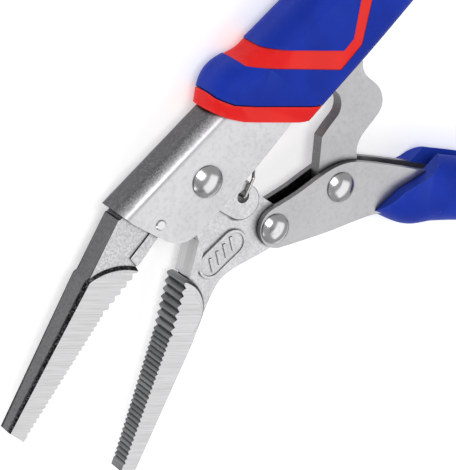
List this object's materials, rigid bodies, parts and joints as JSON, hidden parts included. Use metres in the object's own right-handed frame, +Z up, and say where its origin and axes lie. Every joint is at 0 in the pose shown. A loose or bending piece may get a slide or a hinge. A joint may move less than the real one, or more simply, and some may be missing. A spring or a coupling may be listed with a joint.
{
  "type": "locking pliers",
  "caption": "Long-nose locking pliers with toothed jaws, a toggle linkage, an adjusting screw, a release lever and two-colour sleeved handles.",
  "frame": {"origin": "middle of the footprint, at the height of the table the tool lies on", "axes": "+X from the jaws to the adjusting knob, +Y from the lower handle to the spine of the upper handle, +Z up along the rivets"},
  "size_m": [0.2322, 0.1396, 0.0175],
  "materials": {
    "plated_steel": "satin",
    "forged_steel": "satin",
    "spring_steel": "satin",
    "screw_steel": "satin",
    "blue_grip": "matte",
    "red_grip": "matte"
  },
  "bodies": {
    "upper_handle_body": {"upper_handle": "plated_steel", "fixed_jaw": "forged_steel", "fixed_jaw_pin": "plated_steel", "jaw_pivot_rivet": "plated_steel", "return_spring": "spring_steel", "upper_grip": "blue_grip", "upper_grip_collar": "red_grip", "upper_grip_inlay": "red_grip"},
    "moving_jaw_body": {"moving_jaw": "forged_steel"},
    "lower_handle_body": {"lower_handle": "plated_steel", "jaw_handle_rivet": "plated_steel", "link_rivet": "plated_steel", "release_lever_pin": "plated_steel", "lower_grip": "blue_grip", "lower_grip_inlay": "red_grip"},
    "toggle_link_body": {"toggle_link": "plated_steel"},
    "release_lever_body": {"release_lever": "plated_steel"},
    "screw_body": {"adjusting_screw": "screw_steel"},
    "knob_body": {"adjusting_knob": "screw_steel"}
  },
  "joints": [
    {"name": "jaw_pivot", "type": "hinge", "parent": "upper_handle_body", "child": "moving_jaw_body", "pos_m": [-0.0322, 0.05044, 0.00875], "axis": [0, 0, -1], "range_deg": [0, 22], "deforming": ["return_spring"]},
    {"name": "handle_pivot", "type": "hinge", "parent": "moving_jaw_body", "child": "lower_handle_body", "pos_m": [-0.0261, 0.02174, 0.00875], "axis": [0, 0, 1], "range_deg": [0, 63]},
    {"name": "link_pivot", "type": "hinge", "parent": "lower_handle_body", "child": "toggle_link_body", "pos_m": [-0.0046, 0.01514, 0.00875], "axis": [0, 0, -1], "range_deg": [0, 64.2]},
    {"name": "release_lever_hinge", "type": "hinge", "parent": "lower_handle_body", "child": "release_lever_body", "pos_m": [0.02637, -0.02563, 0.00875], "axis": [0, 0, -1], "range_deg": [0, 6]},
    {"name": "screw_travel", "type": "slide", "parent": "upper_handle_body", "child": "screw_body", "axis": [1, 0, 0], "range_m": [-0.0005, 0.008]},
    {"name": "knob_turn", "type": "hinge", "parent": "screw_body", "child": "knob_body", "pos_m": [0.1048, 0.05254, 0.00875], "axis": [1, 0, 0], "range_deg": [-145, 2305]}
  ],
  "couplings": [
    {"joint": "jaw_pivot", "follows": "handle_pivot", "ratio": 0.349},
    {"joint": "link_pivot", "follows": "handle_pivot", "ratio": 1.019},
    {"joint": "knob_turn", "follows": "screw_travel", "rad_per_m": 5026.5}
  ]
}
